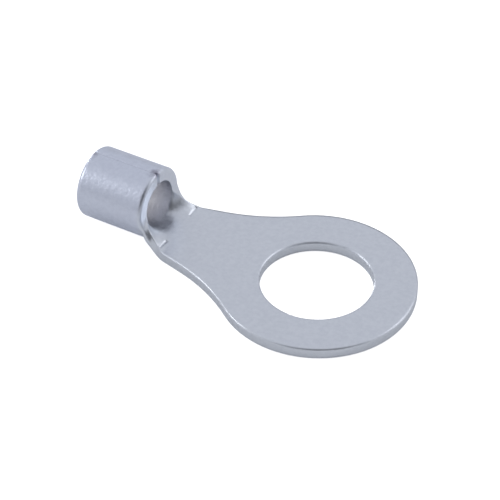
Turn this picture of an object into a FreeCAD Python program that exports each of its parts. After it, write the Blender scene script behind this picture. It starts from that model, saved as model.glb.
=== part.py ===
"""Non-insulated ring terminal: one blank of sheet copper, punched and rolled, in millimetres.

The blank is a ring with a neck that runs into a wide rectangle. The rectangle is rolled into a
barrel that closes along its top in a brazed seam. Between the barrel and the flat neck the sheet
unrolls through an open throat. The origin is the centre of the stud hole on the underside, +Z is
up, and the barrel lies towards -X.
"""
import FreeCAD, Part
import math
import os
from BOPTools import SplitAPI
from FreeCAD import Vector

# Sheet
sheet = 1.0

# Ring and stud hole
ring_radius = 7.4
hole_radius = 4.2

# Barrel
barrel_radius = 2.8
barrel_length = 5.75
barrel_rear_round = 0.38

# Brazed seam along the barrel's top
seam_width = 0.16
seam_depth = 0.1
seam_notch_width = 0.3
seam_notch_length = 0.35

# Throat, where the sheet unrolls from the barrel to the flat neck
throat_length = 2.1
throat_flare = 1.36
throat_lip = 0.35
lean_length = 1.4
lean_share = 0.6
corner_round = 1.0

# Marks that the rolling tool leaves on the upper face, one on each side
mark_past_waist = 0.2
mark_start = 1.7
mark_end = 2.75
mark_radius = 0.16
mark_depth = 0.05

# Neck, from the barrel's rim to the ring
neck_length = 6.05
waist_from_rim = 1.45
waist_half_width = 2.9
neck_taper = 13.5
neck_hollow_radius = 14.5

# Edges: rounder on the lower face, where the punch draws the sheet in
lower_round = 0.28
upper_round = 0.12

# How the curved faces are drawn and cut
flat_ease = 0.15
flat_share = 1e-6
flat_run = 0.15
flat_steps = 3
throat_steps = 16
across_steps = 16
edge_steps = 12
cut_margin = 0.35
cut_over = 0.4
corner_cover = 1.3
corner_fade = 2.5
fuse_gap = 0.001
same = 1e-6

# Worked out from the sizes above
barrel_mid_radius = barrel_radius - sheet / 2
bore_radius = barrel_radius - sheet
rim_x = -(ring_radius + neck_length)
barrel_rear_x = rim_x - barrel_length
waist_x = rim_x + waist_from_rim
flat_x = rim_x + throat_length
tongue_x = flat_x + flat_run
mark_x = waist_x + mark_past_waist
taper = math.radians(neck_taper)
neck_line = Vector(math.cos(taper), math.sin(taper), 0)
neck_normal = Vector(-math.sin(taper), math.cos(taper), 0)
waist = Vector(waist_x, waist_half_width, 0)


def on_neck_line(x):
    """The blank's straight neck edge at x."""
    return waist + neck_line * ((x - waist_x) / neck_line.x)


def corner_centre():
    """Centre of the concave corner between the neck's edge and the barrel's front edge."""
    x = rim_x + corner_round
    return on_neck_line(x) + Vector(0, corner_round / math.cos(taper), 0)


def hollow_centre():
    """Centre of the concave arc that touches both the neck's straight edge and the ring."""
    base = waist + neck_normal * neck_hollow_radius
    along = base.dot(neck_line)
    reach = ring_radius + neck_hollow_radius
    return base - neck_line * (along + math.sqrt(along ** 2 - base.dot(base) + reach ** 2))


def eased(left):
    """The distance to the flat as a share, eased so that the sheet leaves the flat gently."""
    return (1 + flat_ease) * left ** 2 / (left + flat_ease)


def opening(left):
    """Share of the barrel's curvature before the lip, and its slope against the distance left."""
    if left <= 0:
        return 0.0, 0.0
    slope = (1 + flat_ease) * left * (left + 2 * flat_ease) / (left + flat_ease) ** 2
    return eased(left) ** throat_flare, throat_flare * eased(left) ** (throat_flare - 1) * slope


def unrolled(x):
    """Share of the barrel's curvature left in the sheet at x, and its fall per millimetre.

    The share is 1 at the rim and 0 at the flat, and eases into the barrel over a lip at the rim.
    """
    left = min(max((flat_x - x) / throat_length, 0.0), 1.0)
    lip_left = 1 - throat_lip / throat_length
    if left <= lip_left:
        share, slope = opening(left)
        return share, slope / throat_length
    at_lip, slope = opening(lip_left)
    slope *= 1 - lip_left
    square = 3 * (1 - at_lip) - 2 * slope
    cube = slope - 2 * (1 - at_lip)
    t = (left - lip_left) / (1 - lip_left)
    share = at_lip + slope * t + square * t ** 2 + cube * t ** 3
    return share, (slope + 2 * square * t + 3 * cube * t ** 2) / throat_lip


def upper_point(x, across):
    """Point of the sheet's upper face above the blank's point (x, across), and its turn about X."""
    share = unrolled(x)[0]
    if share < flat_share:
        return Vector(x, across, sheet), 0.0
    turn = share * across / barrel_mid_radius
    reach = barrel_mid_radius / share - sheet / 2
    return Vector(x, reach * math.sin(turn), sheet + reach * (1 - math.cos(turn))), turn


def formed(x, across, depth):
    """Where rolling takes the blank's point (x, across), at a depth under the sheet's upper face."""
    point, turn = upper_point(x, across)
    return point + Vector(0, math.sin(turn), -math.cos(turn)) * depth


def trimmed(x, across, depth):
    """The same for a point on the blank's edge, which leans back as the sheet opens."""
    share, fall = unrolled(x)
    point, turn = upper_point(x, across)
    if share < flat_share:
        return point - Vector(0, 0, depth)
    slope = fall * barrel_mid_radius * (1 - math.cos(turn)) / share ** 2
    onset = min((x - rim_x) / lean_length, 1.0)
    lean = lean_share * math.atan(slope) * onset ** 2 * (3 - 2 * onset)
    direction = Vector(-math.sin(lean), math.cos(lean) * math.sin(turn), -math.cos(lean) * math.cos(turn))
    return point + direction * depth


def curve_through(points, start=None):
    """A smooth curve through the points, which may set off in a given direction."""
    curve = Part.BSplineCurve()
    if start:
        free = [False] * (len(points) - 1)
        curve.interpolate(Points=points, Tangents=[start] * len(points), TangentFlags=[True] + free)
    else:
        curve.interpolate(points)
    return curve.toShape()


def plate_half_width(x):
    """Half width of the sheet before its edge is cut: a little more than the blank everywhere."""
    past_rim = (x - rim_x) / corner_round
    corner = corner_cover * corner_round * math.exp(-corner_fade * past_rim)
    return on_neck_line(x).y + cut_margin + corner


def across_curve(x, start, end, depth):
    """The line that the sheet's face makes across itself at x."""
    places = [start + (end - start) * step / across_steps for step in range(across_steps + 1)]
    return curve_through([formed(x, across, depth) for across in places])


def sheet_section(x):
    """Closed outline of the sheet's thickness where its upper face is at x."""
    half_width = plate_half_width(x)
    upper = across_curve(x, -half_width, half_width, 0)
    lower = across_curve(x, half_width, -half_width, sheet)
    sides = []
    for side in (half_width, -half_width):
        sides.append(Part.LineSegment(formed(x, side, 0), formed(x, side, sheet)).toShape())
    return Part.Wire([upper, sides[0], lower, sides[1]])


def rolled_plate():
    """The unrolling sheet before its edges are cut, with sections closer together at both ends."""
    stations = []
    for step in range(throat_steps + 1):
        share = (1 - math.cos(math.pi * step / throat_steps)) / 2
        stations.append(rim_x + throat_length * share)
    for step in range(1, flat_steps + 1):
        stations.append(flat_x + flat_run * step / flat_steps)
    return Part.makeLoft([sheet_section(x) for x in stations], True)


def blank_edge(half_width):
    """The blank's edge through the throat, as lists of (x, across) points that meet end to end."""
    corner = corner_centre()
    turned = math.pi / 2 + taper
    shares = [step / edge_steps for step in range(edge_steps + 1)]
    rim_line = [(rim_x, half_width + (corner.y - half_width) * share) for share in shares]
    corner_arc = []
    for share in shares:
        angle = math.pi + turned * share
        reach = Vector(math.cos(angle), math.sin(angle), 0) * corner_round
        corner_arc.append((corner.x + reach.x, corner.y + reach.y))
    arc_end = corner_arc[-1][0]
    straight = [(x, on_neck_line(x).y) for x in [arc_end + (tongue_x - arc_end) * share for share in shares]]
    past_flat = [(x, on_neck_line(x).y) for x in (tongue_x, tongue_x + cut_over)]
    return [rim_line, corner_arc + straight[1:], past_flat]


def edge_cutter(side):
    """A ruled surface through the sheet, along the blank's edge on one side."""
    faces = []
    for stretch in blank_edge(plate_half_width(rim_x) + cut_margin):
        turn = upper_point(*stretch[0])[1]
        along_rim = Vector(0, -side * math.cos(turn), -math.sin(turn))
        rails = []
        for depth in (-cut_over, sheet + cut_over):
            points = [trimmed(x, side * across, depth) for x, across in stretch]
            if len(points) == 2:
                rails.append(Part.LineSegment(*points).toShape())
            else:
                rails.append(curve_through(points, along_rim))
        faces.append(Part.makeRuledSurface(*rails))
    return Part.makeShell(faces)


def throat():
    """The unrolling sheet between the blank's two edges."""
    cutters = [edge_cutter(side) for side in (1, -1)]
    pieces = SplitAPI.slice(rolled_plate(), cutters, "Split").Solids
    return max(pieces, key=lambda piece: piece.Volume)


def barrel():
    """The rolled tube, straight from end to end."""
    axis = Vector(1, 0, 0)
    start = Vector(barrel_rear_x, 0, barrel_radius)
    outside = Part.makeCylinder(barrel_radius, barrel_length, start, axis)
    return outside.cut(Part.makeCylinder(bore_radius, barrel_length, start, axis))


def mirrored(point):
    """The same point on the other side of the terminal."""
    return Vector(point.x, -point.y, point.z)


def tongue():
    """Flat neck and ring with the stud hole."""
    hollow = hollow_centre()
    on_line = hollow - neck_normal * neck_hollow_radius
    on_ring = hollow * (ring_radius / hollow.Length)
    middle = (on_line + on_ring) / 2 - hollow
    in_hollow = hollow + middle * (neck_hollow_radius / middle.Length)
    start = on_neck_line(tongue_x)
    outline = [
        Part.LineSegment(start, on_line).toShape(),
        Part.Arc(on_line, in_hollow, on_ring).toShape(),
        Part.Arc(on_ring, Vector(ring_radius, 0, 0), mirrored(on_ring)).toShape(),
        Part.Arc(mirrored(on_ring), mirrored(in_hollow), mirrored(on_line)).toShape(),
        Part.LineSegment(mirrored(on_line), mirrored(start)).toShape(),
        Part.LineSegment(mirrored(start), start).toShape(),
    ]
    plate = Part.Face(Part.Wire(outline)).extrude(Vector(0, 0, sheet))
    plate = plate.cut(Part.makeCylinder(hole_radius, sheet))
    plate = plate.makeFillet(lower_round, circles_at(plate, Vector(0, 0, 0), hole_radius))
    return plate.makeFillet(upper_round, circles_at(plate, Vector(0, 0, sheet), hole_radius))


def wedge(corners, direction):
    """A prism from three corners."""
    return Part.Face(Part.makePolygon(corners + corners[:1])).extrude(direction)


def seam():
    """What the seam leaves open: a groove along the barrel's top and a notch at each end."""
    top = 2 * barrel_radius
    groove = wedge([
        Vector(barrel_rear_x, -seam_width, top + seam_depth),
        Vector(barrel_rear_x, seam_width, top + seam_depth),
        Vector(barrel_rear_x, 0, top - seam_depth),
    ], Vector(barrel_length, 0, 0))
    tools = [groove]
    for end, inward in ((barrel_rear_x, 1), (rim_x, -1)):
        tools.append(wedge([
            Vector(end, -seam_notch_width / 2, barrel_radius),
            Vector(end, seam_notch_width / 2, barrel_radius),
            Vector(end + inward * seam_notch_length, 0, barrel_radius),
        ], Vector(0, 0, top)))
    return tools


def tool_marks():
    """Two shallow grooves across the sheet where it starts to bend."""
    marks = []
    for side in (1, -1):
        ends = []
        for across in (mark_start, mark_end):
            ends.append(upper_point(mark_x, side * across)[0] + Vector(0, 0, mark_radius - mark_depth))
        line = ends[1] - ends[0]
        marks.append(Part.makeCylinder(mark_radius, line.Length, ends[0], line))
    return marks


def circles_at(solid, centre, radius):
    """The solid's round edges of one radius whose centre is at a point."""
    found = []
    for edge in solid.Edges:
        if isinstance(edge.Curve, Part.Circle) and abs(edge.Curve.Radius - radius) < same:
            if edge.Curve.Center.distanceToPoint(centre) < same:
                found.append(edge)
    return found


def rounded_outline(solid):
    """Rounds the lower edge of the whole outline, which runs on from the rim's outer edge."""
    rim = Vector(rim_x, 0, barrel_radius)
    above = [edge for edge in circles_at(solid, rim, barrel_radius) if edge.CenterOfMass.z > barrel_radius]
    return solid.makeFillet(lower_round, above[:1])


def main():
    os.makedirs("parts", exist_ok=True)
    tube = barrel()
    rear = Vector(barrel_rear_x, 0, barrel_radius)
    tube = tube.makeFillet(barrel_rear_round, circles_at(tube, rear, barrel_radius))
    tube = tube.makeFillet(upper_round, circles_at(tube, rear, bore_radius))
    solid = tube.fuse([throat(), tongue()], fuse_gap).removeSplitter().Solids[0]
    solid = rounded_outline(solid)
    solid = solid.cut(seam() + tool_marks()).Solids[0]
    solid.exportStep("parts/ring_terminal.step")
    return solid


if __name__ == "__main__":
    main()
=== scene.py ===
import math

import bpy
from mathutils import Matrix, Vector

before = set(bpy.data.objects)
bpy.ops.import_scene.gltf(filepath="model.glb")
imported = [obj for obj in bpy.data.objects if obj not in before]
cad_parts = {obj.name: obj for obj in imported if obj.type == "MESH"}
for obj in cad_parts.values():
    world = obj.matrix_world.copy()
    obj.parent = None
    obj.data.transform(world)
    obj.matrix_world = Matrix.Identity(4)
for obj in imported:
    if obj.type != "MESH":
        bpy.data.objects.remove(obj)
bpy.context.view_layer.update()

MM = 0.001

# Camera, solved from the photograph's hole, ring and barrel
CAMERA_AZIMUTH = 29.488
CAMERA_ELEVATION = 40.742
CAMERA_DISTANCE = 137.021 * MM
CAMERA_TARGET = Vector((-6.456, 1.493, 0.0)) * MM
CAMERA_LENS = 130.83
CAMERA_SENSOR = 36.0
CAMERA_CLIP = (0.01, 10.0)

# Studio: brightness by height, with a darker side where the photographer stands
SKY = ((0.0, 0.34), (0.05, 0.40), (0.16, 0.60), (0.34, 0.64), (0.65, 0.64), (1.0, 0.62))
SKY_TINT = (0.965, 0.985, 1.06)
DARK_SIDE = Vector((0.48, -0.68, 0.55)).normalized()
DARK_EDGE = (0.60, 0.95)
DARK_LEVEL = 0.20

# White table: it glows for the camera, and a little in the metal's reflections
FLOOR_SIZE = 2.0
FLOOR_DROP = 0.03 * MM
FLOOR_WHITE = 0.9
FLOOR_GLOW = 0.8
FLOOR_IN_METAL = 0.09

# Lamps: name, place, size in metres, power in watts
LAMP_AIM = Vector((-6.0, 0.0, 0.0)) * MM
LAMPS = (
    ("back_right", (0.14, 0.15, 0.16), (0.14, 0.14), 0.056),
    ("left", (-0.235, -0.11, 0.135), (0.09, 0.09), 0.1),
    ("back_left", (-0.24, 0.12, 0.02), (0.06, 0.04), 0.05),
)

# Tin plate: two shades in fine mottling, a little bluer and duller on the barrel
TIN_COLOR = (0.775, 0.81, 0.865)
TIN_DULL = (0.715, 0.75, 0.81)
TIN_ROUGHNESS = (0.29, 0.36)
BARREL_TINT = (0.96, 0.97, 1.03)
BARREL_DULLING = 0.06
BARREL_FRONT = (-13.9 * MM, -13.2 * MM)
MOTTLE_SCALE = 3400.0
MOTTLE_DETAIL = 2.0
MOTTLE_SPAN = (0.3, 0.7)

# Relief: orange peel that is stronger on the barrel, and finer grain over it
PEEL = (0.03 * MM, 0.04 * MM)
PEEL_STRENGTH = 0.5
GRAIN = 0.01 * MM
GRAIN_STRENGTH = 0.12
GRAIN_SCALE = 9000.0
GRAIN_DETAIL = 1.0

# Painted light inside the barrel: the bore wall is painted lighter and slightly warmer, for light coming
# in through the tube; it fades out towards the mouth
BORE_PAINTED_LIGHT = (0.935, 0.93, 0.945)
BORE_AXIS = Vector((0.0, 0.0, 2.8)) * MM
BORE_EDGE = (1.85 * MM, 2.15 * MM)
BORE_END = (-15.8 * MM, -12.6 * MM)

# Dark stains that brazing left at both ends of the seam: place and size
STAIN_COLOR = (0.33, 0.32, 0.40)
STAIN_SHARE = 0.75
STAIN_FADE = (0.55, 1.5)
STAINS = (
    (Vector((-13.7, 0.05, 5.6)) * MM, 0.7 * MM),
    (Vector((-19.0, -0.3, 5.5)) * MM, 0.5 * MM),
)

# Rounding of the edges in the shading: narrow on the barrel and throat, wide on neck and ring
EDGE_RADIUS = (0.165 * MM, 0.34 * MM)
EDGE_CHANGE = (-11.6 * MM, -10.4 * MM)
EDGE_SAMPLES = 8


def link(tree, output, socket):
    tree.links.new(output, socket)


def node(tree, kind, **values):
    made = tree.nodes.new(kind)
    for name, value in values.items():
        setattr(made, name, value)
    return made


def noise(tree, places, scale, detail):
    made = node(tree, "ShaderNodeTexNoise")
    made.inputs["Scale"].default_value = scale
    made.inputs["Detail"].default_value = detail
    link(tree, places, made.inputs["Vector"])
    return made.outputs["Fac"]


def map_range(tree, source, given, wanted, curve="LINEAR"):
    """Maps one range of the source to another and holds it at both ends."""
    made = node(tree, "ShaderNodeMapRange", interpolation_type=curve)
    made.inputs["From Min"].default_value = given[0]
    made.inputs["From Max"].default_value = given[1]
    made.inputs["To Min"].default_value = wanted[0]
    made.inputs["To Max"].default_value = wanted[1]
    link(tree, source, made.inputs["Value"])
    return made.outputs["Result"]


def multiply_add(tree, source, factor, added):
    made = node(tree, "ShaderNodeMath", operation="MULTIPLY_ADD")
    made.inputs[1].default_value = factor
    link(tree, source, made.inputs[0])
    link(tree, added, made.inputs[2])
    return made.outputs[0]


def vector_math(tree, operation, source, other):
    """A node that combines the source with a fixed vector."""
    made = node(tree, "ShaderNodeVectorMath", operation=operation)
    made.inputs[1].default_value = other
    link(tree, source, made.inputs[0])
    return made


def painted(tree, under, color, share, blend="MIX"):
    """A fixed colour over another one, by a share."""
    made = node(tree, "ShaderNodeMix", data_type="RGBA", blend_type=blend)
    made.inputs["B"].default_value = (*color, 1.0)
    link(tree, under, made.inputs["A"])
    link(tree, share, made.inputs["Factor"])
    return made.outputs["Result"]


def make_camera():
    azimuth = math.radians(CAMERA_AZIMUTH)
    elevation = math.radians(CAMERA_ELEVATION)
    back = Vector((
        math.sin(azimuth) * math.cos(elevation),
        -math.cos(azimuth) * math.cos(elevation),
        math.sin(elevation),
    ))
    right = Vector((math.cos(azimuth), math.sin(azimuth), 0.0))
    up = back.cross(right)
    data = bpy.data.cameras.new("camera")
    data.sensor_width = CAMERA_SENSOR
    data.lens = CAMERA_LENS
    data.clip_start, data.clip_end = CAMERA_CLIP
    camera = bpy.data.objects.new("camera", data)
    bpy.context.scene.collection.objects.link(camera)
    turn = Matrix((right, up, back)).transposed().to_4x4()
    camera.matrix_world = Matrix.Translation(CAMERA_TARGET + back * CAMERA_DISTANCE) @ turn
    bpy.context.scene.camera = camera


def sky_color(tree, directions):
    """The studio's colour by height."""
    split = node(tree, "ShaderNodeSeparateXYZ")
    ramp = node(tree, "ShaderNodeValToRGB")
    stops = ramp.color_ramp.elements
    while len(stops) < len(SKY):
        stops.new(0.5)
    for stop, (height, level) in zip(stops, SKY):
        stop.position = height
        stop.color = (level * SKY_TINT[0], level * SKY_TINT[1], level * SKY_TINT[2], 1.0)
    link(tree, directions, split.inputs[0])
    link(tree, split.outputs["Z"], ramp.inputs["Fac"])
    return ramp.outputs["Color"]


def make_world():
    world = bpy.data.worlds.new("studio")
    bpy.context.scene.world = world
    world.use_nodes = True
    tree = world.node_tree
    tree.nodes.clear()
    out = node(tree, "ShaderNodeOutputWorld")
    directions = node(tree, "ShaderNodeTexCoord").outputs["Generated"]
    facing = vector_math(tree, "DOT_PRODUCT", directions, DARK_SIDE).outputs["Value"]
    sky = node(tree, "ShaderNodeBackground")
    link(tree, sky_color(tree, directions), sky.inputs["Color"])
    link(tree, map_range(tree, facing, DARK_EDGE, (1.0, DARK_LEVEL), "SMOOTHSTEP"), sky.inputs["Strength"])
    white = node(tree, "ShaderNodeBackground")
    white.inputs["Color"].default_value = (1.0, 1.0, 1.0, 1.0)
    path = node(tree, "ShaderNodeLightPath")
    mix = node(tree, "ShaderNodeMixShader")
    link(tree, path.outputs["Is Camera Ray"], mix.inputs[0])
    link(tree, sky.outputs[0], mix.inputs[1])
    link(tree, white.outputs[0], mix.inputs[2])
    link(tree, mix.outputs[0], out.inputs["Surface"])


def floor_material():
    material = bpy.data.materials.new("floor_white")
    material.use_nodes = True
    tree = material.node_tree
    tree.nodes.clear()
    out = node(tree, "ShaderNodeOutputMaterial")
    diffuse = node(tree, "ShaderNodeBsdfDiffuse")
    diffuse.inputs["Color"].default_value = (FLOOR_WHITE, FLOOR_WHITE, FLOOR_WHITE, 1.0)
    glow = node(tree, "ShaderNodeEmission")
    glow.inputs["Strength"].default_value = FLOOR_GLOW
    path = node(tree, "ShaderNodeLightPath")
    seen = multiply_add(tree, path.outputs["Is Glossy Ray"], FLOOR_IN_METAL, path.outputs["Is Camera Ray"])
    add = node(tree, "ShaderNodeAddShader")
    mix = node(tree, "ShaderNodeMixShader")
    link(tree, diffuse.outputs[0], add.inputs[0])
    link(tree, glow.outputs[0], add.inputs[1])
    link(tree, seen, mix.inputs[0])
    link(tree, diffuse.outputs[0], mix.inputs[1])
    link(tree, add.outputs[0], mix.inputs[2])
    link(tree, mix.outputs[0], out.inputs["Surface"])
    return material


def make_floor():
    bpy.ops.mesh.primitive_plane_add(size=FLOOR_SIZE, location=(0, 0, -FLOOR_DROP))
    floor = bpy.context.object
    floor.name = "floor"
    floor.data.materials.append(floor_material())


def make_lamp(name, place, size, power):
    data = bpy.data.lights.new(name, "AREA")
    data.shape = "RECTANGLE"
    data.size, data.size_y = size
    data.energy = power
    lamp = bpy.data.objects.new(name, data)
    bpy.context.scene.collection.objects.link(lamp)
    lamp.location = place
    lamp.rotation_euler = (LAMP_AIM - Vector(place)).to_track_quat("-Z", "Y").to_euler()


def bore_painted_light_share(tree, places, along):
    """Share of the painted light in the bore: 1 on the wall of the bore, 0 elsewhere."""
    offset = vector_math(tree, "SUBTRACT", places, BORE_AXIS).outputs["Vector"]
    across = vector_math(tree, "MULTIPLY", offset, (0.0, 1.0, 1.0)).outputs["Vector"]
    reach = node(tree, "ShaderNodeVectorMath", operation="LENGTH")
    link(tree, across, reach.inputs[0])
    inside = node(tree, "ShaderNodeMath", operation="MULTIPLY")
    near_axis = map_range(tree, reach.outputs["Value"], BORE_EDGE, (1.0, 0.0), "SMOOTHSTEP")
    link(tree, near_axis, inside.inputs[0])
    link(tree, map_range(tree, along, BORE_END, (1.0, 0.0), "SMOOTHSTEP"), inside.inputs[1])
    return inside.outputs[0]


def stain(tree, places, mottle, centre, size):
    """Share of a stain with a ragged edge."""
    away = vector_math(tree, "DISTANCE", places, centre).outputs["Value"]
    ragged = multiply_add(tree, mottle, size, away)
    fade = (STAIN_FADE[0] * size, STAIN_FADE[1] * size)
    return map_range(tree, ragged, fade, (STAIN_SHARE, 0.0), "SMOOTHSTEP")


def tin_color(tree, places, along, mottle, rolled):
    shades = node(tree, "ShaderNodeMix", data_type="RGBA")
    shades.inputs["A"].default_value = (*TIN_DULL, 1.0)
    shades.inputs["B"].default_value = (*TIN_COLOR, 1.0)
    link(tree, map_range(tree, mottle, MOTTLE_SPAN, (0.0, 1.0)), shades.inputs["Factor"])
    color = painted(tree, shades.outputs["Result"], BARREL_TINT, rolled, "MULTIPLY")
    # Painted light: the bore wall is painted lighter and warmer, for light coming in through the tube
    color = painted(tree, color, BORE_PAINTED_LIGHT, bore_painted_light_share(tree, places, along))
    for centre, size in STAINS:
        color = painted(tree, color, STAIN_COLOR, stain(tree, places, mottle, centre, size))
    return color


def tin_roughness(tree, mottle, rolled):
    return multiply_add(tree, rolled, BARREL_DULLING, map_range(tree, mottle, MOTTLE_SPAN, TIN_ROUGHNESS))


def tin_normal(tree, places, along, mottle, rolled):
    """Rounded edges, then orange peel, then grain."""
    rounded = node(tree, "ShaderNodeBevel", samples=EDGE_SAMPLES)
    link(tree, map_range(tree, along, EDGE_CHANGE, EDGE_RADIUS, "SMOOTHSTEP"), rounded.inputs["Radius"])
    peel = node(tree, "ShaderNodeBump")
    peel.inputs["Strength"].default_value = PEEL_STRENGTH
    link(tree, map_range(tree, rolled, (0.0, 1.0), PEEL), peel.inputs["Distance"])
    link(tree, mottle, peel.inputs["Height"])
    link(tree, rounded.outputs["Normal"], peel.inputs["Normal"])
    grain = node(tree, "ShaderNodeBump")
    grain.inputs["Strength"].default_value = GRAIN_STRENGTH
    grain.inputs["Distance"].default_value = GRAIN
    link(tree, noise(tree, places, GRAIN_SCALE, GRAIN_DETAIL), grain.inputs["Height"])
    link(tree, peel.outputs["Normal"], grain.inputs["Normal"])
    return grain.outputs["Normal"]


def tin_material():
    material = bpy.data.materials.new("tin_plate")
    material.use_nodes = True
    tree = material.node_tree
    shader = tree.nodes["Principled BSDF"]
    shader.inputs["Metallic"].default_value = 1.0
    places = node(tree, "ShaderNodeTexCoord").outputs["Object"]
    split = node(tree, "ShaderNodeSeparateXYZ")
    link(tree, places, split.inputs[0])
    along = split.outputs["X"]
    mottle = noise(tree, places, MOTTLE_SCALE, MOTTLE_DETAIL)
    rolled = map_range(tree, along, BARREL_FRONT, (1.0, 0.0))
    link(tree, tin_color(tree, places, along, mottle, rolled), shader.inputs["Base Color"])
    link(tree, tin_roughness(tree, mottle, rolled), shader.inputs["Roughness"])
    link(tree, tin_normal(tree, places, along, mottle, rolled), shader.inputs["Normal"])
    return material


def dress_terminal():
    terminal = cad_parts["ring_terminal"]
    terminal.data.materials.clear()
    terminal.data.materials.append(tin_material())


make_camera()
make_world()
make_floor()
for lamp_settings in LAMPS:
    make_lamp(*lamp_settings)
dress_terminal()
bpy.context.scene.view_settings.view_transform = "Standard"
